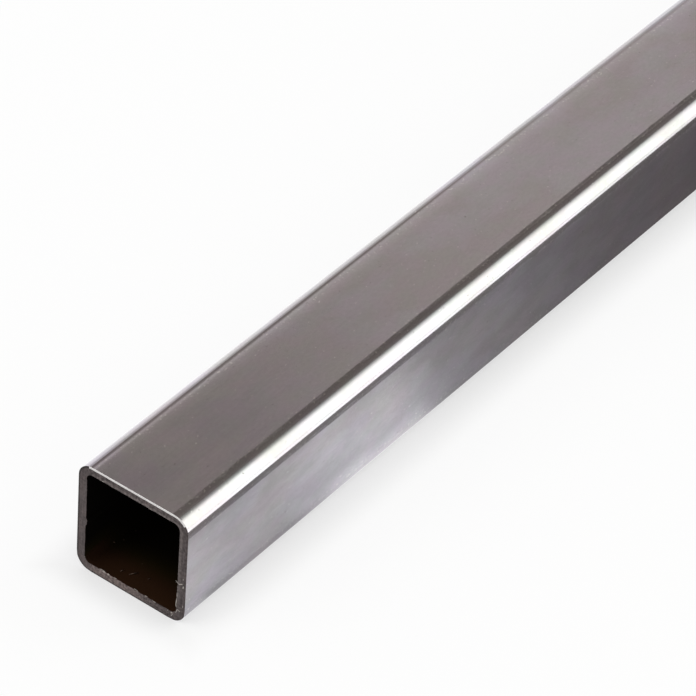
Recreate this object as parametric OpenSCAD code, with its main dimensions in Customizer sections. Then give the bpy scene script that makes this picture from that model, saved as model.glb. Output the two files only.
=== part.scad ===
// Square steel tube, roll-formed from strip and welded along one face.
// The bar lies along Y on its lower face, with the weld seam on its -X face.

/* [Section] */
// Outside size across the flats, the same both ways
side = 20; // [15:0.5:60]
// Wall thickness
wall = 1.5; // [1:0.1:3]
// Inside radius of the four bends
bend_r = 1.1; // [0.4:0.1:3]

/* [Stock] */
// Length of the bar as it is sold
bar_l = 1000; // [200:10:6000]
// Size of the broken outer edge at each cut end
edge_break = 0.2; // [0.1:0.05:0.6]

/* [Weld] */
// Width of the weld bead inside the tube, at the wall
bead_w = 1.2; // [0.8:0.1:3]
// Height of the weld bead above the inside of the wall
bead_h = 0.25; // [0.1:0.05:0.5]
// How far the seam lies below the middle of its wall
seam_drop = 1; // [0:0.1:3]

/* [Hidden] */
$fn = 96;
// Outside radius of the bends, which share their centres with the inside ones
corner_r = bend_r + wall;
// Inside size across the flats
bore_side = side - 2 * wall;
// Straight part of each outside face, between two bends
flat_w = side - 2 * corner_r;
// Radius of the arc through the bead's crown and its two feet
bead_r = (pow(bead_w / 2, 2) + pow(bead_h, 2)) / (2 * bead_h);
// How far the bore's cutter runs past each end of the bar
cut_past = 1;

// Square outline with its four corners turned to a radius
module rounded_square(size, radius) {
    square([size - 2 * radius, size], center = true);
    square([size, size - 2 * radius], center = true);
    for (x = [-1, 1], y = [-1, 1])
        translate([x, y] * (size / 2 - radius))
            circle(r = radius);
}

// Outline of the free space inside the tube: the rolled bore less the weld bead
module bore_outline() {
    difference() {
        rounded_square(bore_side, bend_r);
        translate([bead_h - bore_side / 2 - bead_r, -seam_drop])
            circle(r = bead_r);
    }
}

// Slab across the section whose two long edges slope in by the edge break
module sloped_slab() {
    rotate([90, 0, 0])
        linear_extrude(flat_w, center = true)
            polygon([
                [-side / 2, 0],
                [side / 2, 0],
                [side / 2 - edge_break, edge_break],
                [edge_break - side / 2, edge_break]
            ]);
}

// Last slice of a cut end: the slopes along the flats, and a cone at each bend
module broken_end() {
    sloped_slab();
    rotate(90)
        sloped_slab();
    for (x = [-1, 1], y = [-1, 1])
        translate([x * flat_w / 2, y * flat_w / 2, 0])
            cylinder(h = edge_break, r1 = corner_r, r2 = corner_r - edge_break);
}

// Outside of the bar, standing on end, with both ends broken
module bar() {
    straight_l = bar_l - 2 * edge_break;
    linear_extrude(straight_l, center = true)
        rounded_square(side, corner_r);
    for (end = [0, 1])
        mirror([0, 0, end])
            translate([0, 0, straight_l / 2])
                broken_end();
}

// The whole tube, laid along Y with its lower face on the ground plane
module square_tube() {
    color("dimgray")
        translate([0, 0, side / 2])
            rotate([90, 0, 0])
                difference() {
                    bar();
                    linear_extrude(bar_l + 2 * cut_past, center = true)
                        bore_outline();
                }
}

square_tube();
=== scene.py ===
"""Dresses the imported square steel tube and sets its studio.

The tube is one piece of stock: strip rolled square and welded along its -X wall.
It lies along Y on the floor, in the frame of the CAD part, in metres. Shapes and the places
that materials read are worked out in millimetres.
"""

import math
from types import SimpleNamespace

import bpy
import numpy as np
from bpy.props import FloatProperty, FloatVectorProperty, PointerProperty
from mathutils import Matrix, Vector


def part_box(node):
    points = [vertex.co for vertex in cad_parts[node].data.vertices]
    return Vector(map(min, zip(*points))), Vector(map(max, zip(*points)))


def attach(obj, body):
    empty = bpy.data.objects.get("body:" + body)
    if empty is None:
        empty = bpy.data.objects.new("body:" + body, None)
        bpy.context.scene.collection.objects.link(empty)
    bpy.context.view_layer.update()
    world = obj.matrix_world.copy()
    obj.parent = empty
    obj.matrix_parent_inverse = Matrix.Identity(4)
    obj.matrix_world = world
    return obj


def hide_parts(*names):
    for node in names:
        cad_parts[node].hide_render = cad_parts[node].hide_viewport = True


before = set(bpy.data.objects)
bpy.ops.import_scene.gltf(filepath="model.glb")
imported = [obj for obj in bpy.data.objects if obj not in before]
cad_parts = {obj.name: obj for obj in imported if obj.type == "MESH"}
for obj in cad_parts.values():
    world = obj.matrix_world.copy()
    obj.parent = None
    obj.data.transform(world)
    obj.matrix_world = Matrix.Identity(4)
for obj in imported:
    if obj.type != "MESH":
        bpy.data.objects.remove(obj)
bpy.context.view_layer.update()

bl_info = {
    "name": "Square steel tube",
    "version": (1, 0, 0),
    "blender": (4, 5, 0),
    "location": "3D View > Sidebar > Steel tube",
    "description": "Makes the skin, sawn ends and burrs of a square steel tube, and its studio",
    "category": "Add Mesh",
}

MM = 0.001
NODE = "square_tube"
BODY = "root"

# Zones of the wall, in the order of the bar's materials
SKIN, BREAK, SAWN, BORE = range(4)

# Packed sizes that set the defaults, in metres
BOX_LOW, BOX_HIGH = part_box(NODE)
SIDE = BOX_HIGH[0] - BOX_LOW[0]
LENGTH = BOX_HIGH[1] - BOX_LOW[1]

# Stands for the place along a flat of a point that is on a bend
OFF_FLAT = 99.0
# Turn round a bend at which a facet beside it ends
FACET_TURN = math.radians(16.5)
# Depth of a crowned facet, as a share of a flat one's
CROWN = 0.82
# Thickness of the wall, from the bore outwards, over which a lip is ragged
LIP = 0.35
# Columns by which the far end's chips are turned against the near end's
CHIP_SHIFT = 97
# Turn round the -X bend from which the top's edge is dressed and bright, partly as a painted
# highlight, and round the +X bend up to which
DRESSED_HIGHLIT_FROM = 1.25
DRESSED_HIGHLIT_TO = 0.9
# Angle between faces past which an edge is shown sharp
SHARP_ANGLE = math.radians(40)
# Columns of one flat and of one bend
FLAT_COLUMNS = 72
BEND_COLUMNS = 36

# Camera as fitted to the picture: place in metres, angles in degrees
CAMERA_PLACE = (0.27858034, -0.85558339, 0.43264168)
CAMERA_AZIMUTH = 34.4689
CAMERA_ELEVATION = 40.3592
CAMERA_ROLL = 4.529
FLOOR_REACH = 15.0


class TubeSizes(bpy.types.PropertyGroup):
    """Sizes of the tube's section, its ends and its weld"""

    side: FloatProperty(
        name="Side", description="Outside width and height of the section",
        default=SIDE, min=0.005, unit="LENGTH", subtype="DISTANCE")
    length: FloatProperty(
        name="Length", description="Length of the bar",
        default=LENGTH, min=0.05, unit="LENGTH", subtype="DISTANCE")
    wall: FloatProperty(
        name="Wall", description="Thickness of the strip",
        default=1.5 * MM, min=0.5 * MM, unit="LENGTH", subtype="DISTANCE")
    corner: FloatProperty(
        name="Corner radius", description="Outside radius of the four bends",
        default=2.6 * MM, min=1.6 * MM, unit="LENGTH", subtype="DISTANCE")
    shoulder: FloatProperty(
        name="Shoulder", description="How far onto a flat the rolls left a narrow facet",
        default=0.35 * MM, min=0.0, unit="LENGTH", subtype="DISTANCE")
    roll_mark: FloatProperty(
        name="Roll mark", description="Depth of the step that the rolls left beside one bend",
        default=0.075 * MM, min=0.0, unit="LENGTH", subtype="DISTANCE")
    dish: FloatProperty(
        name="Dish", description="How far the middle of the top lies below its right edge",
        default=0.022 * MM, min=0.0, unit="LENGTH", subtype="DISTANCE")
    edge_break: FloatProperty(
        name="Edge break", description="How far the broken edge reaches down a sawn face",
        default=0.34 * MM, min=0.05 * MM, unit="LENGTH", subtype="DISTANCE")
    edge_along: FloatProperty(
        name="Edge break along", description="How far the broken edge reaches along the skin",
        default=0.06 * MM, min=0.01 * MM, unit="LENGTH", subtype="DISTANCE")
    recess: FloatProperty(
        name="Recess", description="How far a sawn face stays inside the nominal length",
        default=0.02 * MM, min=0.0, unit="LENGTH", subtype="DISTANCE")
    bead_width: FloatProperty(
        name="Bead width", description="Width of the weld bead inside the seam wall",
        default=1.2 * MM, min=0.2 * MM, unit="LENGTH", subtype="DISTANCE")
    bead_height: FloatProperty(
        name="Bead height", description="How far the weld bead stands into the bore",
        default=0.25 * MM, min=0.0, unit="LENGTH", subtype="DISTANCE")
    seam_drop: FloatProperty(
        name="Seam drop", description="How far the seam lies below the middle of its wall",
        default=1.0 * MM, min=0.0, unit="LENGTH", subtype="DISTANCE")
    burr: FloatProperty(
        name="Burr", description="Largest raggedness of the sawn inner edge",
        default=0.22 * MM, min=0.0, unit="LENGTH", subtype="DISTANCE")


class TubeFinish(bpy.types.PropertyGroup):
    """Colours and gloss of the steel"""

    steel: FloatVectorProperty(
        name="Rolled steel", description="Colour of the rolled skin",
        default=(0.46, 0.445, 0.468), min=0.0, max=1.0, size=3, subtype="COLOR")
    steel_brown: FloatVectorProperty(
        name="Oil tint", description="Colour where thin mill oil has dried on the skin",
        default=(0.45, 0.428, 0.432), min=0.0, max=1.0, size=3, subtype="COLOR")
    sawn: FloatVectorProperty(
        name="Sawn steel", description="Colour of the sawn end faces",
        default=(0.118, 0.0965, 0.0965), min=0.0, max=1.0, size=3, subtype="COLOR")
    # The top's broken edge takes this pale colour, partly as a painted highlight
    bright: FloatVectorProperty(
        name="Bright steel", description="Colour of the broken edges",
        default=(0.70, 0.68, 0.67), min=0.0, max=1.0, size=3, subtype="COLOR")
    # Near-black: mostly painted shade, as the inside of the tube lies in shade, and partly mill
    # scale
    scale: FloatVectorProperty(
        name="Mill scale", description="Colour of the scale inside the bore",
        default=(0.0016, 0.0010, 0.0006), min=0.0, max=1.0, size=3, subtype="COLOR")
    # Brown by each mouth along the bore's lower side: oil and dirt, and partly painted light that
    # falls in at the mouth
    settled_oil_and_mouth_light: FloatVectorProperty(
        name="Settled oil", description="Colour of the oily dust along the bore's lower side",
        default=(0.0265, 0.0114, 0.0052), min=0.0, max=1.0, size=3, subtype="COLOR")
    roughness: FloatProperty(
        name="Skin roughness", description="Roughness of the rolled skin",
        default=0.18, min=0.05, max=1.0, subtype="FACTOR")


class TubeStudio(bpy.types.PropertyGroup):
    """Floor, light and lens"""

    floor: FloatVectorProperty(
        name="Floor", description="Colour of the plain floor",
        default=(0.93, 0.93, 0.93), min=0.0, max=1.0, size=3, subtype="COLOR")
    front: FloatProperty(
        name="Front light", description="Brightness of the front softbox, where 1 is white",
        default=2.2, min=0.0)
    room: FloatProperty(
        name="Room light", description="Brightness of the plain pale room, where 1 is as written",
        default=1.0, min=0.0)
    lens: FloatProperty(
        name="Lens", description="Focal length for a sensor 36 mm wide",
        default=225.11, min=20.0, unit="CAMERA")


# Surfaces


def smooth(a, b, v):
    """Smootherstep: t = (v - a) / (b - a) held to 0..1, then t^3 (6 t^2 - 15 t + 10)."""
    t = np.clip((v - a) / (b - a), 0.0, 1.0)
    return t ** 3 * (6 * t ** 2 - 15 * t + 10)


def waves(v, period, count, rng, fall):
    """Smooth noise along v: the sum of `count` cosines of v that fit the period, each with a
    seeded phase and an amplitude k^-fall, scaled so that its spread is 1."""
    k = np.arange(1, count + 1)
    phase = rng.uniform(0, 2 * np.pi, count)
    size = k ** -float(fall)
    total = (size * np.cos(2 * np.pi * np.multiply.outer(v / period, k) + phase)).sum(-1)
    return total / np.sqrt((size ** 2).sum() / 2)


def spread(length, count, centres):
    """Positions 0..length whose density is 1 plus a bell w exp(-((t - c) / s)^2) at each centre
    (c, s, w). The density is summed, scaled to 0..count and read backwards."""
    t = np.linspace(0, length, 2000)
    density = np.ones_like(t)
    for c, s, w in centres:
        density += w * np.exp(-(((t - c) / s) ** 2))
    total = np.concatenate([[0], np.cumsum((density[1:] + density[:-1]) / 2)])
    return np.interp(np.arange(count) / count, total / total[-1], t)


def section(size):
    """The outer outline, once round clockwise as seen from -Y, as columns.

    Each quarter is a flat, (t, h) with normal (0, 1), then a bend of radius R about (l, l),
    (l + R sin a, l + R cos a) with normal (sin a, cos a). A quarter turn, (x, z) -> (z, -x),
    gives the next: top, right, bottom and left. Gives x, z, their normal, the arc length, the
    quarter, t (OFF_FLAT on a bend), the turn a (0 on a flat), which columns are on a flat, how
    far each is above the seam (OFF_FLAT off its wall), the length around, l and R."""
    half = size.side / MM / 2
    radius = size.corner / MM
    flat = half - radius
    seam_at = flat - size.seam_drop / MM
    columns = []
    for quarter in range(4):
        centres = [(0.35, 0.5, 4.0), (2 * flat - 0.35, 0.5, 4.0)]
        if quarter == 3:
            centres.append((seam_at, 0.9, 5.0))
        t = spread(2 * flat, FLAT_COLUMNS, centres) - flat
        angle = np.arange(BEND_COLUMNS) / BEND_COLUMNS * np.pi / 2
        sin, cos, zeros, ones = np.sin(angle), np.cos(angle), np.zeros_like(t), np.ones_like(t)
        x, z, nx, nz, arc, along, turn = (np.concatenate(flat_and_bend) for flat_and_bend in (
            (t, flat + radius * sin), (half * ones, flat + radius * cos), (zeros, sin),
            (ones, cos), (t + flat, 2 * flat + radius * angle),
            (t, np.full_like(angle, OFF_FLAT)), (zeros, angle)))
        for _ in range(quarter):
            x, z, nx, nz = z, -x, nz, -nx
        arc = quarter * (2 * flat + radius * np.pi / 2) + arc
        columns.append(np.stack([x, z, nx, nz, arc, np.full_like(x, quarter), along, turn]))
    x, z, nx, nz, arc, quarter, along, turn = np.concatenate(columns, 1)
    return SimpleNamespace(
        x=x, z=z + half, nx=nx, nz=nz, arc=arc, quarter=quarter, t=along, turn=turn,
        on_flat=along < OFF_FLAT,
        seam=np.where(quarter == 3, along + size.seam_drop / MM, OFF_FLAT),
        around=4 * (2 * flat + radius * np.pi / 2), flat=flat, radius=radius)


def facet_depth(s, reach):
    """Depth of the narrow facets beside each bend: the chord from `reach` mm out on the flat to
    the bend's point at FACET_TURN. With tan b the chord's slope and c its distance from the
    bend's centre, the depth is tan b (t + reach) on the flat and R - c / cos(a - b) round the
    bend. The same is done from the bend's other side. The top's -X bend is left round, and the
    facet at the right side's upper edge is crowned."""
    radius = s.radius
    drop = radius * (1 - np.cos(FACET_TURN))
    b = np.arctan2(drop, radius * np.sin(FACET_TURN) + reach)
    c = radius * np.cos(b) - reach * np.sin(b)
    past = np.where(s.on_flat, np.abs(s.t) - s.flat + reach, -1.0)
    on_flat = np.tan(b) * np.clip(past, 0, None)
    turn = np.where(s.on_flat, np.pi / 4, np.minimum(s.turn, np.pi / 2 - s.turn))
    on_bend = np.where(turn < FACET_TURN, radius - c / np.cos(turn - b), 0.0)
    depth = np.maximum(on_flat, np.clip(on_bend, 0, None))
    left_round = (s.quarter == 3) & (s.t > 0) | (s.quarter == 0) & (s.t < 0)
    crowned = (s.quarter == 1) & (s.t < 0) | (s.quarter == 0) & (s.turn > np.pi / 4)
    return np.where(left_round, 0.0, depth) * np.where(crowned, CROWN, 1.0)


def roll_depth(s, size, from_near):
    """Depth of the marks that the rolls left on the top.

    The dish is c (1 - (x / 7)^2) right of the middle and c left of it. At the -X bend the steel
    goes down by g times the sum of 0.4 exp(-(m / 0.45)^2) and b exp(-(m / 1.25)^2) at m mm from
    a line 0.2 mm past the flat. From there it rises 0.06 in 1 until the round bend is lower.
    Along the bar b grows from 0.25 to 0.6, g falls to 0.5 and the rise falls to 0.15 of that."""
    flat, radius = s.flat, s.radius
    top = (s.quarter == 0) & s.on_flat
    left_bend = (s.quarter == 3) & ~s.on_flat
    t = np.where(s.on_flat, s.t, 0.0)
    dish = size.dish / MM * np.where(t > 0, np.clip(1 - (t / 7.0) ** 2, 0, None), 1.0)
    angle = np.where(left_bend, np.pi / 2 - s.turn, 0.0)
    m = np.where(left_bend, -radius * np.sin(angle), t + flat) + 0.2
    down = np.clip(m, 0, None)
    broad = 0.25 + 0.35 * smooth(0.0, 55.0, from_near)
    fall = 0.4 * np.exp(-(down / 0.45) ** 2) + broad * np.exp(-(down / 1.25) ** 2)
    mark = size.roll_mark / MM * (1 - 0.5 * smooth(60.0, 130.0, from_near))
    rise = 0.06 * (1 - 0.85 * smooth(60.0, 105.0, from_near))
    gutter = mark * fall - rise * np.clip(-m, 0, None)
    drop = radius * (1 - np.cos(angle))
    on_top = np.where(top, dish + gutter, 0.0)
    on_bend = np.where(left_bend, np.clip(size.dish / MM + gutter - drop, 0, None), 0.0)
    return on_top + on_bend


def skin_relief(s, size, from_near):
    """Depth of the skin under the plain outline: 0.003 mm all over, which keeps it inside the
    CAD box, the facets and the marks of the rolls. The facet on the top grows along the bar by
    up to 0.4 of its width, and the one at the right side's upper edge is 0.55 of it wider."""
    top = (s.quarter == 0) & s.on_flat
    right_edge = (s.quarter == 1) & (s.t < 0)
    wider = np.where(top, 0.4 * smooth(30.0, 90.0, from_near), np.where(right_edge, 0.55, 0.0))
    facets = facet_depth(s, size.shoulder / MM * (1 + wider))
    return 0.003 + facets + roll_depth(s, size, from_near)


def seam_relief(s, size, from_near, rng):
    """Relief of the seam's wall inside: the weld bead, b sqrt(1 - (m / w)^2) at m mm from the
    seam, and the step of the strip's upper edge, 0.08 mm high and gone by the upper bend. Along
    the bar the seam drifts, and b and w waver, by seeded noise."""
    length = size.length / MM
    seam, flat = s.seam, s.flat
    drift = 0.07 * waves(from_near, length, 60, rng, 0.5)
    height = size.bead_height / MM * (0.82 + 0.12 * waves(from_near, length, 400, rng, 0.4))
    w = size.bead_width / MM / 2 * (1 + 0.08 * waves(from_near, length, 200, rng, 0.4))
    bead = height * np.sqrt(np.clip(1 - ((seam - drift) / w) ** 2, 0, 1))
    step = 0.08 * smooth(0.0, 0.5, seam) * (1 - smooth(flat - 1.2, flat + 0.3, s.t))
    return bead + np.where(s.quarter == 3, step, 0.0)


def lip_chips(s, rng):
    """Raggedness of the inner lip round the outline: 0.35 times the sum of a fast and a slow
    seeded noise, held to -0.35..1, times a strength. That is 0.06, plus 0.94 of the larger of
    0.55 exp(-(z / 2.2)^2), for the lower side, and 0.8 low on the right wall."""
    ragged = waves(s.arc, s.around, 420, rng, 0.35)
    broad = waves(s.arc, s.around, 30, rng, 0.2)
    low_side = np.exp(-((s.z / 2.2) ** 2))
    right_low = np.where(s.quarter == 1, smooth(1.0, 5.0, s.t), 0.0)
    strength = 0.06 + 0.94 * np.maximum(0.55 * low_side, 0.8 * right_low)
    return np.clip(0.35 * ragged + 0.35 * broad, -0.35, 1.0) * strength


def steps_from_end(first, growth, reach):
    """Distances from an end, from about `first` up to `reach`, each `growth` times the last."""
    count = int(np.ceil(np.log(reach / first) / np.log(growth)))
    return reach * growth ** (np.arange(count) - count + 1.0)


def rings(size):
    """Rings of the wall, as one closed loop from the near skin outside to the far end and back
    through the bore. Each has its place along Y, its depth under the outer outline and a zone.
    An end is a quarter of an ellipse, e (1 - sin a) along the skin and f (1 - cos a) down the
    face, the sawn face and a short inner lip."""
    half = (size.length / 2 - size.recess) / MM
    e = size.edge_along / MM
    f = size.edge_break / MM
    wall = size.wall / MM
    near = e + np.concatenate([[0.012, 0.04, 0.12], steps_from_end(0.3, 1.22, half * 0.9)])
    skin_y = np.concatenate([[e], near, [half], 2 * half - near[::-1], [2 * half - e]]) - half
    a = np.linspace(0, np.pi / 2, 7)[1:]
    break_y, break_d = half - e * (1 - np.sin(a)), f * (1 - np.cos(a))
    face_d = np.linspace(f, wall - 0.06, 12)[1:]
    lip_d = np.array([wall - 0.03, wall - 0.008, wall])
    lip_in = np.array([0.004, 0.02, 0.06])
    bore_in = np.concatenate([[0.12, 0.22, 0.36], steps_from_end(0.55, 1.2, half * 0.9)])
    y = np.concatenate([
        skin_y, break_y, np.full(len(face_d), half), half - lip_in,
        half - bore_in, [0.0], bore_in[::-1] - half,
        lip_in[::-1] - half, np.full(len(face_d), -half), -break_y[::-1]])
    depth = np.concatenate([
        np.zeros(len(skin_y)), break_d, face_d, lip_d,
        np.full(2 * len(bore_in) + 1, wall),
        lip_d[::-1], face_d[::-1], break_d[::-1]])
    zone = np.concatenate([
        np.full(len(skin_y) - 1, SKIN), np.full(len(a), BREAK),
        np.full(len(face_d) + 3, SAWN), np.full(2 * len(bore_in) + 2, BORE),
        np.full(len(face_d) + 3, SAWN), np.full(len(a), BREAK)])
    return y, depth, zone


def wall_surface(size):
    """The tube's whole surface as a closed grid: point = outline - normal * depth, at y.

    The depth is the ring's, plus the skin's relief outside and the seam's inside. Each inner
    lip stands out by h exp(-(m / 0.3)^2) times its chips at m mm from the sawn face, and draws
    back along the bar where they are missing. The sawn faces have a fine grain along Y.
    Returns the points, the rings' zones, the section and the values that the materials read:
    mottle_and_reflection_tint, how blotchy each side is and how much painted bluish reflection
    tint it takes, dirt_and_reflection_share, how much dirt and painted dark reflection each side
    takes beside its bends, burr, which also sets a pale colour that is partly a painted highlight,
    from_bend (mm from the nearest bend, negative on it), depth, and seam (mm from the seam)."""
    rng = np.random.default_rng(11)
    s = section(size)
    y, depth, zone = rings(size)
    half = size.length / MM / 2
    wall = size.wall / MM
    y = np.repeat(y[:, None], len(s.x), 1)
    depth = np.repeat(depth[:, None], len(s.x), 1)
    from_near = y + half

    outer = np.clip(1 - depth / 0.25, 0, 1)
    depth = depth + outer * skin_relief(s, size, from_near)
    inner = smooth(0.5, 1.0, depth / wall)
    depth = depth + inner * seam_relief(s, size, from_near, rng)

    near_chips = lip_chips(s, rng)
    burr = np.zeros_like(depth)
    for end, chips in ((-1, near_chips), (1, np.roll(near_chips, CHIP_SHIFT))):
        from_face = half - size.recess / MM - end * y
        lip = np.where(depth > wall - LIP, np.exp(-((from_face / 0.3) ** 2)), 0.0)
        lip = lip * smooth(wall - LIP, wall - 0.05, depth)
        depth = depth + size.burr / MM * lip * chips
        burr = np.maximum(burr, lip * np.clip(chips, 0, 1) * 1.6)
        y = y - end * 0.05 * lip * np.clip(-chips, 0, 1)

    face = np.where((depth > 0.2) & (half - np.abs(y) < 0.1), 1.0, 0.0)
    grain = np.clip(waves(s.arc, s.around, 300, rng, 0.3), -2, 1.6)
    y = y + np.sign(y) * face * 0.012 * grain

    points = np.stack([s.x - s.nx * depth, y, s.z - s.nz * depth], -1)
    top, right, left = (s.quarter == quarter for quarter in (0, 1, 3))
    by_right_bend = top & (s.t > 0) | right & (s.t < 0)
    by_left_bend = top & (s.t < 0) | left & (s.t > 0)
    round_bend = -s.radius * np.minimum(s.turn, np.pi / 2 - s.turn)
    values = {
        # Per side: how blotchy it is, and how much painted bluish reflection tint it takes
        "mottle_and_reflection_tint": np.choose(s.quarter.astype(int), (0.25, 1.0, 0.7, 0.6)),
        # How much dirt and painted dark reflection lies beside each bend
        "dirt_and_reflection_share": np.where(by_right_bend, 1.0, np.where(by_left_bend, 0.0, 0.35)),
        "burr": burr,
        "from_bend": np.where(s.on_flat, s.flat - np.abs(s.t), round_bend),
        "depth": depth,
        "seam": np.abs(s.seam)}
    values = {name: np.broadcast_to(value, y.shape) for name, value in values.items()}
    return points, zone, s, values


def cell_corners(rows, cols):
    """Corners of the cells of a grid, (i, j), (i, j + 1), (i + 1, j + 1) and (i + 1, j), as an
    array of their rows and one of their columns. Both run on past the last row and column."""
    i, j = np.meshgrid(np.arange(rows), np.arange(cols), indexing="ij")
    return np.stack([i, i, i + 1, i + 1], -1), np.stack([j, j + 1, j + 1, j], -1)


def closed_grid_faces(rows, cols):
    """Quads of a grid that is closed both ways."""
    i, j = cell_corners(rows, cols)
    return (i % rows * cols + j % cols).reshape(-1, 4)


def wall_uv(points, s):
    """UV in metres for each corner of the closed grid: u is the arc length round the outline,
    v is the length of the path over the ring so far."""
    step = np.linalg.norm(np.diff(points[:, 0], axis=0, append=points[:1, 0]), axis=-1)
    v = np.concatenate([[0], np.cumsum(step)])
    u = np.concatenate([s.arc, [s.around]])
    i, j = cell_corners(*points.shape[:2])
    return np.stack([u[j], v[i]], -1).reshape(-1, 2) * MM


def mesh_from_arrays(name, points, quads):
    """A mesh from arrays of points in millimetres and of quads."""
    mesh = bpy.data.meshes.new(name)
    mesh.vertices.add(len(points))
    mesh.vertices.foreach_set("co", (points * MM).astype(np.float32).ravel())
    mesh.loops.add(quads.size)
    mesh.loops.foreach_set("vertex_index", quads.astype(np.int32).ravel())
    mesh.polygons.add(len(quads))
    mesh.polygons.foreach_set("loop_start", np.arange(0, quads.size, 4, dtype=np.int32))
    mesh.update(calc_edges=True)
    mesh.validate()
    return mesh


def smooth_path(points, count):
    """A curve of `count` points through the given ones: Catmull-Rom, read at equal steps."""
    p = np.asarray(points, float)
    p = np.concatenate([[2 * p[0] - p[1]], p, [2 * p[-1] - p[-2]]])
    t = np.linspace(0, len(p) - 3 - 1e-9, count)
    k = t.astype(int)
    f = (t - k)[:, None]
    a, b, c, d = p[k], p[k + 1], p[k + 2], p[k + 3]
    return 0.5 * (2 * b + (c - a) * f + (2 * a - 5 * b + 4 * c - d) * f ** 2
                  + (3 * b - a - 3 * c + d) * f ** 3)


def sliver_points(paths, widths, thicks, sides):
    """Closed slivers: an ellipse (width cos b, thick sin b) carried along each path of points,
    with its size times sin(pi t)^0.6 + 0.05, so that it thins out at both ends. The result is
    indexed by sliver, place along it and place round it."""
    way = np.gradient(paths, axis=1)
    way /= np.linalg.norm(way, axis=-1, keepdims=True)
    side = np.cross(way, (0.0, 1.0, 0.0))
    weak = np.linalg.norm(side, axis=-1, keepdims=True) < 0.2
    side = np.where(weak, np.cross(way, (1.0, 0.0, 0.0)), side)
    side /= np.linalg.norm(side, axis=-1, keepdims=True)
    up = np.cross(side, way)
    taper = (np.sin(np.pi * np.linspace(0, 1, paths.shape[1])) ** 0.6 + 0.05)[:, None]
    b = np.arange(sides) / sides * 2 * np.pi
    across = (widths[:, None, None] * taper * np.cos(b))[..., None]
    out = (thicks[:, None, None] * taper * np.sin(b))[..., None]
    return paths[:, :, None] + side[:, :, None] * across + up[:, :, None] * out


def sliver_faces(count, steps, sides):
    """Faces of the slivers as lists, one sliver after another: its quads, then its two caps."""
    first = np.arange(count)[:, None, None] * steps * sides
    i, j = cell_corners(steps - 1, sides)
    quads = first + (i * sides + j % sides).reshape(-1, 4)
    caps = first + np.stack([np.arange(sides)[::-1], np.arange(sides) + (steps - 1) * sides])
    return [face for pair in zip(quads.tolist(), caps.tolist()) for faces in pair for face in faces]


# Materials


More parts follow.
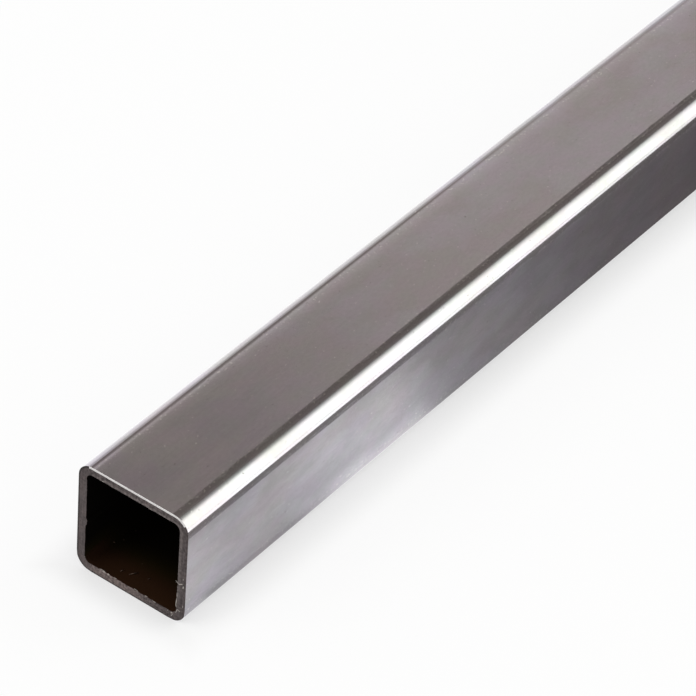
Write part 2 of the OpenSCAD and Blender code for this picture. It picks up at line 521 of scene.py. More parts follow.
class Graph:
    """Makes and links the nodes of one material or world."""

    def __init__(self, tree):
        self.tree = tree
        tree.nodes.clear()
        self.at = 0

    def add(self, kind, inputs=None, **values):
        """A node with these properties, and these sockets linked or set."""
        node = self.tree.nodes.new(kind)
        self.at += 180
        node.location = (self.at, 0)
        for name, value in values.items():
            setattr(node, name, value)
        for key, value in (inputs or {}).items():
            self.put(node.inputs[key], value)
        return node

    def put(self, socket, value):
        """Links the socket to another one, or sets its value."""
        if isinstance(value, bpy.types.NodeSocket):
            self.tree.links.new(value, socket)
        elif hasattr(value, "__len__") and len(value) == 3 and socket.type == "RGBA":
            socket.default_value = (*value, 1.0)
        else:
            socket.default_value = value

    def math(self, operation, first, *rest):
        """The operation on one value, or on the first and each further one in turn."""
        for value in rest or (0.0,):
            first = self.add("ShaderNodeMath", {0: first, 1: value}, operation=operation).outputs[0]
        return first

    def times(self, *values):
        return self.math("MULTIPLY", *values)

    def plus(self, *values):
        return self.math("ADD", *values)

    def ramp(self, value, low, high, to_low=0.0, to_high=1.0, kind="SMOOTHSTEP"):
        """Takes low..high to to_low..to_high by a smooth step, and holds it there."""
        inputs = {"Value": value, "From Min": low, "From Max": high,
                  "To Min": to_low, "To Max": to_high}
        return self.add("ShaderNodeMapRange", inputs, interpolation_type=kind).outputs[0]

    def line(self, value, low, high, to_low=0.0, to_high=1.0):
        """The same as ramp, by a straight line."""
        return self.ramp(value, low, high, to_low, to_high, "LINEAR")

    def mix(self, factor, a, b, blend="MIX"):
        inputs = {0: factor, 6: a, 7: b}
        return self.add("ShaderNodeMix", inputs, data_type="RGBA", blend_type=blend).outputs[2]

    def tint(self, colour, by):
        """The colour times another one, or times a plain factor."""
        return self.mix(1.0, colour, by, "MULTIPLY")

    def steps(self, value, stops):
        """A colour ramp through (position, colour) stops, straight between them."""
        node = self.add("ShaderNodeValToRGB", {0: value})
        ramp = node.color_ramp
        while len(ramp.elements) < len(stops):
            ramp.elements.new(0.5)
        for element, (position, colour) in zip(ramp.elements, stops):
            element.position = position
            element.color = (*colour, 1.0)
        return node.outputs[0]

    def place(self, scale, turn=(0.0, 0.0, 0.0), kind="Object"):
        """The object's coordinates, or a world's directions, scaled and turned."""
        source = self.add("ShaderNodeTexCoord").outputs[kind]
        inputs = {"Vector": source, "Scale": scale, "Rotation": turn}
        return self.add("ShaderNodeMapping", inputs).outputs[0]

    def axes(self, scale=1 / MM, kind="Object"):
        """X, Y and Z of the object's coordinates, in millimetres, or of a world's directions."""
        split = self.add("ShaderNodeSeparateXYZ", {0: self.place((scale,) * 3, kind=kind)})
        return [split.outputs[axis] for axis in "XYZ"]

    def stored(self, name):
        """A value that the mesh holds for each of its points."""
        return self.add("ShaderNodeAttribute", attribute_name=name).outputs["Fac"]

    def noise(self, scale, turn=(0.0, 0.0, 0.0), detail=2.0, rough=0.5):
        """Noise with `scale` cells to the metre along each axis."""
        inputs = {"Vector": self.place(scale, turn), "Scale": 1.0, "Detail": detail,
                  "Roughness": rough}
        return self.add("ShaderNodeTexNoise", inputs).outputs["Fac"]

    def bump(self, height, distance):
        return self.add("ShaderNodeBump", {"Height": height, "Distance": distance}).outputs[0]

    def steel(self, colour, rough, **inputs):
        """Ends the material in a bare metal."""
        self.surface(self.add("ShaderNodeBsdfPrincipled", {
            "Base Color": colour, "Metallic": 1.0, "Roughness": rough, **inputs}))

    def layered(self, factor, under, over):
        """One shader laid over another by a factor."""
        inputs = {0: factor, 1: under.outputs[0], 2: over.outputs[0]}
        return self.add("ShaderNodeMixShader", inputs)

    def surface(self, shader, kind="ShaderNodeOutputMaterial"):
        """Ends the material or world in a shader."""
        self.add(kind, {"Surface": shader.outputs[0]})


def new_material(name):
    """An empty material and its graph."""
    material = bpy.data.materials.new(name)
    material.use_nodes = True
    return material, Graph(material.node_tree)


def rolled_skin(finish):
    """Rolled skin: bright steel with fine streaks along the bar, dried oil in soft patches,
    small pits and specks, a few drawn scratches, dirt and a painted dark reflection beside the
    bends, a painted bluish reflection tint, strongest on the right side, and the dressed weld."""
    material, g = new_material("rolled_steel_skin")
    mottle_and_reflection_tint, from_bend = g.stored("mottle_and_reflection_tint"), g.stored("from_bend")
    streaks = g.noise((2600, 22, 2600), detail=3.0, rough=0.6)
    patches = g.noise((110, 55, 110), detail=3.0, rough=0.55)
    clouds = g.noise((330, 150, 330), detail=3.0, rough=0.55)
    grain = g.noise((2100, 1100, 2100), detail=1.0)
    scratches = g.noise((4300, 110, 4300), detail=1.0)
    film = g.noise((300, 190, 300))
    wander = g.noise((700, 230, 700), detail=3.0, rough=0.6)
    scuffs = g.noise((2600, 1700, 2600), detail=1.0)
    specks = g.noise((2300, 1500, 2300), detail=1.0)
    swell = g.noise((190, 60, 190))

    colour = g.mix(g.ramp(patches, 0.40, 0.60), finish.steel, finish.steel_brown)
    colour = g.tint(colour, g.plus(
        g.ramp(streaks, 0.3, 0.7, 0.992, 1.004),
        g.times(g.ramp(clouds, 0.32, 0.68, -0.06, 0.06), mottle_and_reflection_tint),
        g.ramp(grain, 0.3, 0.7, -0.018, 0.018),
        g.times(g.ramp(scratches, 0.71, 0.77, 0.0, 0.10), mottle_and_reflection_tint)))
    film = g.mix(g.ramp(film, 0.36, 0.64), (0.985, 1.012, 0.985), (1.018, 0.990, 1.016))
    colour = g.tint(colour, film)
    # Painted reflection: a faint bluish tint on each side by its share, strongest on the right side
    colour = g.tint(colour, g.mix(mottle_and_reflection_tint, (1.0, 1.0, 1.0), (0.989, 0.985, 1.024)))

    # Painted dark reflection beside the bends, partly dirt: a darker band with a wandering edge,
    # strongest beside the top right bend and none beside the top left one
    reach = g.plus(from_bend, g.line(wander, 0.3, 0.7, 0.45, -0.45))
    dirt_and_dark_reflection = g.times(g.ramp(reach, 0.35, 0.10), g.ramp(from_bend, -0.9, -0.2), g.stored("dirt_and_reflection_share"))
    colour = g.mix(g.times(dirt_and_dark_reflection, 0.32), colour, (0.20, 0.175, 0.16))
    scuff = g.times(g.ramp(scuffs, 0.60, 0.70), g.ramp(from_bend, 1.3, 0.4),
                    g.ramp(from_bend, -0.4, 0.1))
    colour = g.mix(g.times(scuff, 0.55), colour, (0.70, 0.68, 0.65))
    pit = g.ramp(specks, 0.735, 0.79)
    colour = g.mix(g.times(pit, 0.45), colour, (0.16, 0.14, 0.13))
    glint = g.ramp(specks, 0.262, 0.225)
    colour = g.mix(g.times(glint, 0.6), colour, (0.72, 0.70, 0.69))

    seam = g.plus(g.stored("seam"), g.line(wander, 0.3, 0.7, -0.12, 0.12))
    colour = g.mix(g.ramp(seam, 1.9, 0.7, 0.0, 0.30), colour, (0.30, 0.30, 0.36))
    colour = g.mix(g.ramp(seam, 0.34, 0.24, 0.0, 0.35), colour, (0.66, 0.64, 0.63))

    rough = g.plus(g.ramp(streaks, 0.3, 0.7, -0.004, 0.006),
                   g.ramp(patches, 0.35, 0.65, finish.roughness - 0.015, finish.roughness + 0.02))
    height = g.plus(streaks, g.times(pit, -1.5), g.times(swell, 22.0, mottle_and_reflection_tint))
    tangent = g.add("ShaderNodeTangent", direction_type="UV_MAP", uv_map="wall")
    g.steel(colour, rough, Anisotropic=0.4, Tangent=tangent.outputs[0],
            Normal=g.bump(height, 0.00000025))
    return material


def broken_edge(finish):
    """Edge dressed after sawing: bright steel with fine file marks. Only the top's edge takes it,
    so its pale colour is partly a painted highlight.
    """
    material, g = new_material("dressed_edge_highlight")
    marks = g.noise((6000, 2500, 6000))
    colour = g.mix(g.ramp(marks, 0.35, 0.65), finish.bright, (0.60, 0.58, 0.57))
    g.steel(colour, g.ramp(marks, 0.3, 0.7, 0.18, 0.30), Normal=g.bump(marks, 0.000004))
    return material


def sawn_face(finish):
    """Sawn end: dull grey-brown steel with slanting saw lines and grit, paler low down and by the
    bore, with a painted dark shade along the edge by the skin, darker to the right and at the
    upper left, with brighter burrs, partly painted highlights."""
    material, g = new_material("sawn_end")
    lines = g.noise((5200, 600, 420), turn=(0.0, math.radians(-12), 0.0), detail=3.0, rough=0.6)
    blotch = g.noise((700, 700, 700), detail=3.0, rough=0.65)
    grit = g.noise((2400, 2400, 2400))
    depth = g.stored("depth")
    x, _, z = g.axes()
    colour = g.mix(g.ramp(lines, 0.3, 0.7, 0.1, 0.8), finish.sawn, (0.062, 0.051, 0.050))
    colour = g.mix(g.ramp(blotch, 0.45, 0.65, 0.0, 0.55), colour, (0.128, 0.102, 0.098))

    low = g.times(g.ramp(z, 2.6, 1.4), g.ramp(x, 6.5, -2.0), g.ramp(x, -8.2, -6.2, 0.15, 1.0))
    colour = g.mix(g.times(low, 0.62), colour, (0.215, 0.168, 0.155))
    # Painted shade: a dark rim along the face's outer edge, except at the right
    outer = g.times(g.ramp(depth, 0.42, 0.16, 0.0, 0.85), g.ramp(x, 9.5, 7.5))
    colour = g.mix(outer, colour, (0.030, 0.026, 0.025))
    rim = g.times(g.ramp(depth, 0.85, 1.2, 0.0, 0.42), g.ramp(z, 3.0, 6.0), g.ramp(x, -8.8, -6.0))
    colour = g.mix(rim, colour, (0.22, 0.19, 0.18))
    right = g.times(g.ramp(x, 0.0, 8.5), g.ramp(z, 0.0, 4.0, 0.05, 0.26))
    colour = g.mix(right, colour, (0.03, 0.026, 0.026))
    upper = g.times(g.ramp(z, 17.2, 18.6, 0.0, 0.2), g.ramp(x, 4.0, -2.0))
    colour = g.mix(upper, colour, (0.03, 0.026, 0.026))

    coarse = g.times(g.line(grit, 0.3, 0.7, -0.56, 0.60), g.ramp(x, -8.7, -7.4, 0.32, 1.0),
                     g.ramp(x, 7.6, 8.6, 1.0, 0.62))
    colour = g.tint(colour, g.plus(coarse, 1.0))
    # Paler where the lip is ragged: torn bright steel, and partly painted highlights along the inner
    # edge
    colour = g.mix(g.ramp(g.stored("burr"), 0.15, 0.6, 0.0, 0.8), colour, (0.50, 0.45, 0.41))
    g.steel(colour, g.ramp(lines, 0.3, 0.7, 0.42, 0.58), Normal=g.bump(lines, 0.000012))
    return material


def bore_scale_and_shade(finish):
    """Bore: near-black, mostly painted shade for the inside of the tube and partly mill scale,
    browner along the lower side by each mouth, partly oil and dirt gathered there and partly
    painted light that falls in at the mouth, with pale flecks of swarf."""
    material, g = new_material("bore_scale_and_shade")
    patches = g.noise((160, 60, 160), detail=3.0)
    flecks = g.noise((1500, 1100, 1500), detail=1.0)
    x, y, z = g.axes()
    low = g.plus(z, g.line(patches, 0.3, 0.7, -1.0, 1.0))
    far_in = g.math("SUBTRACT", BOX_HIGH[1] / MM, g.math("ABSOLUTE", y))
    # Painted light and oil: lighter and browner low in the bore by each mouth, fading to a tenth
    # within 10 mm, so that deeper in it stays near-black as painted shade
    settled_oil_and_mouth_light = g.times(g.ramp(low, 6.1, 1.4), g.ramp(far_in, 10.0, 1.5, 0.10, 1.0),
                      g.ramp(x, -9.0, -1.0, 0.62, 1.0))
    olive = g.math("MAXIMUM", g.ramp(low, 1.8, 3.0), g.ramp(far_in, 3.0, 7.0))
    dust_and_mouth_light = g.mix(olive, finish.settled_oil_and_mouth_light, (0.0185, 0.0130, 0.0028))
    colour = g.mix(settled_oil_and_mouth_light, finish.scale, dust_and_mouth_light)
    colour = g.mix(g.ramp(flecks, 0.77, 0.81, 0.0, 0.25), colour, (0.10, 0.07, 0.055))
    g.surface(g.add("ShaderNodeBsdfPrincipled", {
        "Base Color": colour, "Specular IOR Level": 0.03,
        "Roughness": g.ramp(patches, 0.3, 0.7, 0.7, 0.85), "Normal": g.bump(flecks, 0.00002)}))
    return material


def torn_steel(name, light, dark):
    """Torn steel: a fine grain between a light and a dark tone, half bright."""
    material, g = new_material(name)
    grain = g.noise((5000, 5000, 5000))
    g.steel(g.mix(g.ramp(grain, 0.35, 0.65), light, dark), g.ramp(grain, 0.3, 0.7, 0.35, 0.5))
    return material


def plain_floor(colour):
    """Matt pale paper with a very faint cloudiness. For the camera and for gloss a share of it
    is plain white, as paper lit from behind is, and the rest keeps the shadows. The white share
    is smaller within 7 mm of the tube, where the contact shadow lies."""
    material, g = new_material("studio_floor")
    cloud = g.noise((1.3, 1.3, 1.3), detail=1.0)
    paper = g.mix(g.ramp(cloud, 0.3, 0.7), colour, tuple(c * 0.99 for c in colour))
    matt = g.add("ShaderNodeBsdfPrincipled", {
        "Base Color": paper, "Roughness": 1.0, "Specular IOR Level": 0.0})
    white = g.add("ShaderNodeEmission", {"Strength": 1.0})
    rays = g.add("ShaderNodeLightPath").outputs
    seen = g.math("MAXIMUM", rays["Is Camera Ray"], rays["Is Glossy Ray"],
                  rays["Is Transmission Ray"])
    x, y, _ = g.axes()
    beside = g.math("SUBTRACT", g.math("ABSOLUTE", x), BOX_HIGH[0] / MM)
    beyond = g.math("SUBTRACT", g.math("ABSOLUTE", y), BOX_HIGH[1] / MM)
    share = g.ramp(g.math("MAXIMUM", beside, beyond), 0.0, 7.0, 0.50, 0.86)
    g.surface(g.layered(g.times(seen, share), matt, white))
    return material


# Pieces


def add_piece(name, mesh):
    """Puts a mesh into the scene as a piece of the tube that rides on its body."""
    piece = bpy.data.objects.new(name, mesh)
    bpy.context.scene.collection.objects.link(piece)
    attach(piece, BODY)
    return piece


class TUBE_OT_make_bar(bpy.types.Operator):
    """Make the bar: rolled skin, dressed edges partly painted as a highlight, sawn ends and the
    bore, painted dark as shade, with its weld bead
    """

    bl_idname = "tube.make_bar"
    bl_label = "Make the bar"

    def execute(self, context):
        finish = context.scene.tube_finish
        points, zone, s, values = wall_surface(context.scene.tube_sizes)
        rows, cols = points.shape[:2]
        mesh = mesh_from_arrays("steel_tube", points.reshape(-1, 3), closed_grid_faces(rows, cols))
        if len(mesh.polygons) != rows * cols:
            raise RuntimeError("the bar's grid lost faces")
        uv = mesh.uv_layers.new(name="wall")
        uv.data.foreach_set("uv", wall_uv(points, s).astype(np.float32).ravel())
        for name, value in values.items():
            store = mesh.attributes.new(name, "FLOAT", "POINT")
            store.data.foreach_set("value", value.astype(np.float32).ravel())
        for paint in (rolled_skin, broken_edge, sawn_face, bore_scale_and_shade):
            mesh.materials.append(paint(finish))
        # Only the top's edge is dressed and bright, partly as a painted highlight, from the end of
        # the
        # -X bend to halfway round the other; the other broken edges take the darker sawn steel
        dressed = ((s.quarter == 0) & (s.turn < DRESSED_HIGHLIT_TO)
                   | (s.quarter == 3) & (s.turn > DRESSED_HIGHLIT_FROM))
        zones = np.repeat(zone[:, None], cols, 1)
        zones = np.where((zones == BREAK) & ~dressed, SAWN, zones)
        mesh.polygons.foreach_set("material_index", zones.astype(np.int32).ravel())
        mesh.shade_smooth()
        mesh.set_sharp_from_angle(angle=SHARP_ANGLE)
        piece = add_piece("steel_tube", mesh)
        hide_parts(NODE)
        return {"FINISHED"}


# Burrs of the near end: width, thickness and the points that each runs through, all in mm, as
# (x, in from the end, z)
NEAR_BURRS = [
    (0.10, 0.038, [(7.95, 0.18, 7.72), (8.4, 0.0, 7.72), (8.8, -0.034, 7.58),
                   (9.2, -0.034, 7.80), (9.55, -0.034, 7.92)]),
    (0.12, 0.038, [(9.60, -0.034, 7.75), (9.53, -0.034, 7.25), (9.61, -0.034, 6.75)]),
    (0.09, 0.038, [(9.52, -0.02, 9.1), (9.52, -0.034, 8.9), (9.52, -0.02, 8.7)]),
    (0.09, 0.038, [(8.46, 0.03, 4.8), (8.44, -0.034, 4.0), (8.40, -0.034, 3.3), (8.48, 0.0, 2.7)]),
    (0.09, 0.038, [(8.36, -0.034, 1.7), (8.60, -0.034, 2.25), (8.80, -0.034, 2.8)]),
    (0.09, 0.038, [(8.80, -0.034, 2.7), (9.02, -0.034, 2.45), (9.30, -0.034, 2.28)]),
    (0.08, 0.038, [(9.63, -0.02, 4.2), (9.62, -0.034, 3.65), (9.54, -0.02, 3.1)]),
    (0.14, 0.038, [(7.25, 0.0, 1.22), (7.64, -0.034, 1.27), (8.05, 0.0, 1.42)]),
    (0.08, 0.038, [(7.95, -0.02, 1.35), (7.71, -0.034, 0.80), (7.42, 0.0, 0.22)]),
    (0.08, 0.038, [(6.25, 0.03, 1.40), (6.82, -0.02, 1.32), (7.38, 0.0, 1.22)]),
    (0.07, 0.038, [(4.0, 0.03, 1.45), (4.47, -0.02, 1.41), (4.95, 0.02, 1.39)]),
    (0.06, 0.04, [(-6.2, 0.05, 18.4), (-5.6, -0.02, 18.62), (-5.0, 0.04, 18.45)]),
    (0.05, 0.03, [(2.6, 0.05, 18.4), (3.1, -0.02, 18.5), (3.5, 0.05, 18.42)]),
    (0.05, 0.04, [(-5.8, 0.03, 1.56), (-5.2, -0.01, 1.66), (-4.6, 0.03, 1.60)]),
    (0.05, 0.03, [(-3.1, 0.03, 1.46), (-2.8, -0.01, 1.52), (-2.5, 0.03, 1.50)]),
    (0.05, 0.03, [(-0.8, 0.00, 1.12), (-0.5, -0.034, 1.18), (-0.3, 0.00, 1.15)]),
    (0.06, 0.04, [(0.6, 0.05, 1.54), (1.0, -0.02, 1.66), (1.4, 0.03, 1.56)]),
    (0.05, 0.03, [(2.7, 0.03, 1.52), (2.95, -0.01, 1.58), (3.2, 0.03, 1.50)]),
]
# Flecks of swarf in the near mouth, in the same way
SWARF = [
    (0.10, 0.05, [(-3.1, 1.4, 1.58), (-2.95, 1.8, 1.64), (-2.8, 2.2, 1.58)]),
    (0.11, 0.05, [(-1.7, 1.8, 1.58), (-1.25, 2.4, 1.66), (-0.85, 3.1, 1.60)]),
    (0.10, 0.05, [(-7.4, 5.1, 2.1), (-7.25, 5.3, 2.05), (-7.1, 5.4, 1.95)]),
    (0.07, 0.04, [(0.9, 2.8, 1.57), (1.05, 3.1, 1.62), (1.2, 3.4, 1.57)]),
]
# Burrs of the far end: x, z and half of the way that each runs along x and z
FAR_BURRS = [(8.4, 6.0, 0.1, 1.1), (8.4, 12.0, -0.1, 0.8), (-3.0, 1.55, 1.0, 0.1),
             (4.5, 1.55, 0.8, -0.1), (-8.4, 4.0, 0.1, 1.0), (1.0, 18.4, 0.9, 0.1)]
# How far inside the nominal end the burrs' points are counted from
BURR_END = 0.075
BURR_STEPS = 14
BURR_SIDES = 6


def far_burrs():
    """Burrs of the far end, each bulging a little to one side by seeded chance."""
    rng = np.random.default_rng(5)
    burrs = []
    for x, z, dx, dz in FAR_BURRS:
        bulge_x, bulge_z = rng.uniform(-0.12, 0.12, 2)
        burrs.append((0.06, 0.04, [(x - dx, -0.05, z - dz), (x + bulge_x, 0.02, z + bulge_z),
                                   (x + dx, -0.05, z + dz)]))
    return burrs


class TUBE_OT_make_burrs(bpy.types.Operator):
    """Make the burrs: thin torn slivers on the inner edges of both ends, and a little swarf"""

    bl_idname = "tube.make_burrs"
    bl_label = "Make the burrs"

    def execute(self, context):
        size = context.scene.tube_sizes
        end = size.length / MM / 2 - BURR_END
        widths, thicks, paths, looks = [], [], [], []
        for group, at, look in ((NEAR_BURRS, -end, 0), (far_burrs(), end, 0), (SWARF, -end, 1)):
            for width, thick, path in group:
                widths.append(width)
                thicks.append(thick)
                paths.append(smooth_path(np.asarray(path) + (0.0, at, 0.0), BURR_STEPS))
                looks.append(look)
        points = sliver_points(np.stack(paths), np.array(widths), np.array(thicks), BURR_SIDES)
        points = points.reshape(-1, 3)
        if abs(points[:, 1]).max() > size.length / MM / 2 or points[:, 2].max() > size.side / MM:
            raise RuntimeError("a burr stands outside the tube's box")
        faces = sliver_faces(len(paths), BURR_STEPS, BURR_SIDES)
        mesh = bpy.data.meshes.new("saw_burrs")
        mesh.from_pydata((points * MM).tolist(), [], faces)
        mesh.validate()
        if len(mesh.polygons) != len(faces):
            raise RuntimeError("the burrs lost faces")
        mesh.shade_smooth()
        mesh.materials.append(torn_steel("burr_steel", (0.46, 0.425, 0.39), (0.27, 0.245, 0.22)))
        mesh.materials.append(torn_steel("bore_swarf", (0.15, 0.105, 0.085), (0.09, 0.06, 0.045)))
        looks = np.repeat(looks, len(faces) // len(paths)).astype(np.int32)
        mesh.polygons.foreach_set("material_index", looks)
        add_piece("saw_burrs", mesh)
        return {"FINISHED"}


# Studio


def look_along(back, roll_degrees):
    """Axes of a camera or lamp from the direction back to it, which is never straight up: right
    is level, and then right and up turn by the roll about the line of sight."""
    back = np.asarray(back, float) / np.linalg.norm(back)
    right = np.cross((0.0, 0.0, 1.0), back)
    right /= np.linalg.norm(right)
    up = np.cross(back, right)
    r = math.radians(roll_degrees)
    return (math.cos(r) * right + math.sin(r) * up, -math.sin(r) * right + math.cos(r) * up, back)


def placed(axes, place):
    """A 4 x 4 matrix whose columns are the axes and the place."""
    return Matrix([*np.column_stack([*axes, place]).tolist(), [0, 0, 0, 1]])


def softbox(name, target, direction, distance, width, height, brightness):
    """A rectangular lamp that faces the target from a direction. Its power is
    brightness * 4 * area, which makes a surface of that brightness."""
    lamp = bpy.data.lights.new(name, "AREA")
    lamp.shape = "RECTANGLE"
    lamp.size, lamp.size_y = width, height
    lamp.energy = brightness * 4 * width * height
    box = bpy.data.objects.new(name, lamp)
    axes = look_along(direction, 0.0)
    box.matrix_world = placed(axes, np.asarray(target) + axes[2] * distance)
    box.visible_camera = False
    bpy.context.scene.collection.objects.link(box)


def level_quad(name, low, high, height, material):
    """A level rectangle of the stage from corner (x, y) `low` to corner `high`, in metres."""
    (x0, y0), (x1, y1) = low, high
    mesh = bpy.data.meshes.new(name)
    mesh.from_pydata([(x0, y0, height), (x1, y0, height), (x1, y1, height), (x0, y1, height)],
                     [], [(0, 1, 2, 3)])
    mesh.materials.append(material)
    piece = bpy.data.objects.new(name, mesh)
    bpy.context.scene.collection.objects.link(piece)
    return piece


def card(name, low, high, height, brightness, cover, colour=(1.0, 1.0, 1.0)):
    """A level studio card of an even tone that only gloss sees. Its corners and height are in
    millimetres, from the tube's middle across and from its near end along. The cover, worked
    out from x and y in the same way, makes it see-through in places."""
    material, g = new_material(name)
    x, y, _ = g.axes()
    tone = g.add("ShaderNodeEmission", {"Color": colour, "Strength": brightness})
    clear = g.add("ShaderNodeBsdfTransparent")
    g.surface(g.layered(cover(g, x, g.math("SUBTRACT", y, BOX_LOW[1] / MM)), clear, tone))
    low, high = ((x_mm * MM, y_mm * MM + BOX_LOW[1]) for x_mm, y_mm in (low, high))
    piece = level_quad(name, low, high, height * MM, material)
    for ray in ("camera", "diffuse", "shadow", "transmission", "volume_scatter"):
        setattr(piece, f"visible_{ray}", False)


def dark_board_cover(g, x, y):
    """Cover of the dark board beside the tube: a narrow strip all along, a patch at the tube's
    foot by the near end, and the rest growing denser away from that end."""
    reach = 200.0
    from_end = [(0, 0.0), (6, 0.04), (12, 0.14), (20, 0.24), (28, 0.24), (36, 0.12), (44, 0.0),
                (57, 0.02), (60, 0.10), (63, 0.30), (66, 0.40), (70, 0.58), (76, 0.65),
                (90, 0.76), (104, 0.87), (118, 0.92), (160, 1.0)]
    slant = g.times(g.math("SUBTRACT", x, 16.0), 0.4)
    along = g.line(g.math("SUBTRACT", y, slant), 0.0, reach)
    along = g.steps(along, [(at / reach, (v, v, v)) for at, v in from_end])
    foot = g.times(g.ramp(y, 3.5, 9.0), g.ramp(y, 34.0, 26.0), g.ramp(x, 13.2, 10.6, 0.0, 0.38))
    along = g.math("MAXIMUM", along, foot)
    strip = g.ramp(x, 20.8, 22.5)
    along = g.times(along, g.line(strip, 0.0, 1.0, 1.0, 0.92))
    strip = g.times(strip, g.ramp(y, 20.0, 60.0, 0.80, 0.775))
    return g.times(g.math("MAXIMUM", along, strip), g.ramp(y, 370.0, 175.0))


def foot_board_cover(g, x, y):
    """Cover of the small white board at the tube's foot."""
    return g.times(g.ramp(y, 28.0, 42.0), g.ramp(y, 64.0, 51.0), g.ramp(x, 13.2, 11.2, 0.0, 0.85))


def bright_board_cover(g, x, y):
    """Cover of the white board on the floor: its near edge slants away from the tube."""
    edge = g.plus(x, g.times(g.math("SUBTRACT", y, 40.0), -0.21))
    return g.times(g.ramp(edge, 37.2, 42.5), g.ramp(y, 390.0, 270.0))


def left_board_cover(g, x, y):
    """Cover of the board left of the tube: whole beside the near end, and none further back."""
    return g.ramp(y, 370.0, 170.0)


def board_row(g, turn, low, tops, edge, rise):
    """Tones of the long soft boards side by side, by the angle a in degrees. From the left
    horizon come greys, the last three from `low`, the boards `tops` that the tube's top shows, a
    dark one from `edge` to -2, and white ones whose first two tones are `rise`."""
    grey = [(-110, 0.98), (-90, 1.45), (-80, 1.34), (-74, 1.15), (-68, low[0]),
            (-62, low[1]), (-52, low[2])]
    white = [(6, 0.36), (16, rise[0]), (27, rise[1]), (36, 2.35), (92, 2.4)]
    stops = [(a, (v, v * 0.985, v * 0.98)) for a, v in grey] + tops
    stops += [(edge, (0.220, 0.196, 0.180)), (-2, (0.240, 0.216, 0.200))]
    stops += [(a, (v, v * 1.035, v * 0.965)) for a, v in white] + [(104, (1.0, 1.0, 1.0))]
    return g.steps(turn, [((a + 180) / 360, colour) for a, colour in stops])


def studio_light(scene, brightness):
    """The world: an even pale room. Towards +Y it has two rows of boards, told apart by y, and
    the boards of a row by the angle round the Y axis, a = atan2(x, z)."""
    world = bpy.data.worlds.new("studio")
    world.use_nodes = True
    g = Graph(world.node_tree)
    x, y, z = g.axes(1.0, "Generated")
    turn = g.line(g.math("ARCTAN2", x, z), -math.pi, math.pi)
    near = board_row(g, turn, (0.80, 0.60, 0.76), [
        (-44, (0.84, 0.79, 0.77)), (-41, (0.73, 0.666, 0.641)), (-38, (0.345, 0.300, 0.283)),
        (-33.5, (0.260, 0.221, 0.204))], -29, (0.44, 1.72))
    far = board_row(g, turn, (0.80, 0.62, 0.68), [
        (-44, (0.80, 0.765, 0.76)), (-41, (0.86, 0.81, 0.815)), (-38, (0.83, 0.77, 0.76)),
        (-35.5, (0.76, 0.69, 0.659)), (-33.5, (0.70, 0.627, 0.592))], -29.8, (1.42, 2.0))
    boards = g.mix(g.ramp(y, 0.607, 0.645), near, far)
    plain = g.mix(g.ramp(z, 0.15, 0.75), (0.99, 0.99, 0.99), (0.84, 0.84, 0.84))
    light = g.mix(g.times(g.ramp(y, 0.44, 0.50), g.ramp(y, 0.82, 0.75)), plain, boards)
    g.surface(g.add("ShaderNodeBackground", {"Color": light, "Strength": brightness}),
              "ShaderNodeOutputWorld")
    scene.world = world


def photo_camera(scene, focal_length):
    """The camera, at the angle and distance of the picture."""
    lens = bpy.data.cameras.new("camera")
    lens.lens = focal_length
    lens.sensor_width = 36.0
    lens.clip_start = 0.02
    lens.clip_end = 100.0
    camera = bpy.data.objects.new("camera", lens)
    azimuth, elevation = math.radians(CAMERA_AZIMUTH), math.radians(CAMERA_ELEVATION)
    back = (math.sin(azimuth) * math.cos(elevation), -math.cos(azimuth) * math.cos(elevation),
            math.sin(elevation))
    camera.matrix_world = placed(look_along(back, CAMERA_ROLL), CAMERA_PLACE)
    scene.collection.objects.link(camera)
    scene.camera = camera


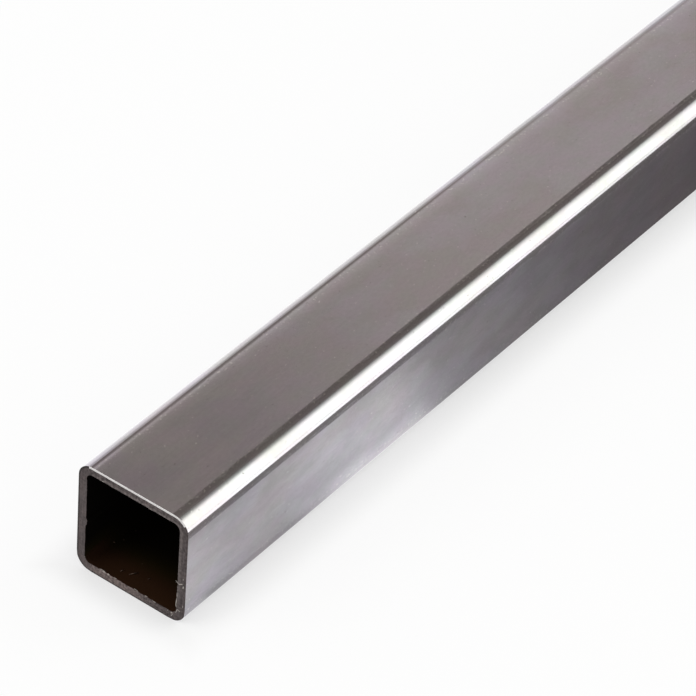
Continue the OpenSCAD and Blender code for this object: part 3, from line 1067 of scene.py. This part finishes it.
class TUBE_OT_make_studio(bpy.types.Operator):
    """Make the studio: a plain pale floor, a softbox, a pale room, reflector cards and the camera"""

    bl_idname = "tube.make_studio"
    bl_label = "Make the studio"

    def execute(self, context):
        scene = context.scene
        studio = scene.tube_studio
        scene.view_settings.view_transform = "Standard"
        level_quad("studio_floor", (-FLOOR_REACH, -FLOOR_REACH), (FLOOR_REACH, FLOOR_REACH), 0.0,
                   plain_floor(studio.floor))
        studio_light(scene, studio.room)
        softbox("front_softbox", target=(0.0, -0.4, 0.01), direction=(-0.43, -0.65, 0.63),
                distance=2.6, width=1.4, height=0.9, brightness=studio.front)
        card("dark_board", low=(8.5, 0.0), high=(80.0, 400.0), height=0.6, brightness=0.14,
             cover=dark_board_cover, colour=(0.95, 0.84, 0.85))
        card("white_board", low=(40.0, 0.0), high=(600.0, 400.0), height=0.9, brightness=2.4,
             cover=bright_board_cover)
        card("foot_board", low=(8.5, 0.0), high=(20.0, 100.0), height=1.2, brightness=1.22,
             cover=foot_board_cover)
        card("left_board", low=(-600.0, 0.0), high=(-20.0, 400.0), height=0.6, brightness=1.4,
             cover=left_board_cover)
        photo_camera(scene, studio.lens)
        return {"FINISHED"}


class TUBE_PT_panel(bpy.types.Panel):
    """Lists the tube's sizes, finish, studio and makers"""

    bl_idname = "TUBE_PT_panel"
    bl_label = "Steel tube"
    bl_space_type = "VIEW_3D"
    bl_region_type = "UI"
    bl_category = "Steel tube"

    def draw(self, context):
        scene = context.scene
        for group in (scene.tube_sizes, scene.tube_finish, scene.tube_studio):
            box = self.layout.box()
            for name in group.__annotations__:
                box.prop(group, name)
        for operator in (TUBE_OT_make_studio, TUBE_OT_make_bar, TUBE_OT_make_burrs):
            self.layout.operator(operator.bl_idname)


CLASSES = (TubeSizes, TubeFinish, TubeStudio, TUBE_OT_make_studio, TUBE_OT_make_bar,
           TUBE_OT_make_burrs, TUBE_PT_panel)


def register():
    """Registers the classes and puts the three property groups on the scene."""
    for item in CLASSES:
        bpy.utils.register_class(item)
    bpy.types.Scene.tube_sizes = PointerProperty(type=TubeSizes)
    bpy.types.Scene.tube_finish = PointerProperty(type=TubeFinish)
    bpy.types.Scene.tube_studio = PointerProperty(type=TubeStudio)


def unregister():
    """Takes back what register did."""
    del bpy.types.Scene.tube_studio
    del bpy.types.Scene.tube_finish
    del bpy.types.Scene.tube_sizes
    for item in reversed(CLASSES):
        bpy.utils.unregister_class(item)


def main():
    """Makes the studio, the bar and its burrs."""
    register()
    bpy.ops.tube.make_studio()
    bpy.ops.tube.make_bar()
    bpy.ops.tube.make_burrs()
    bpy.context.view_layer.update()


if __name__ == "__main__":
    main()
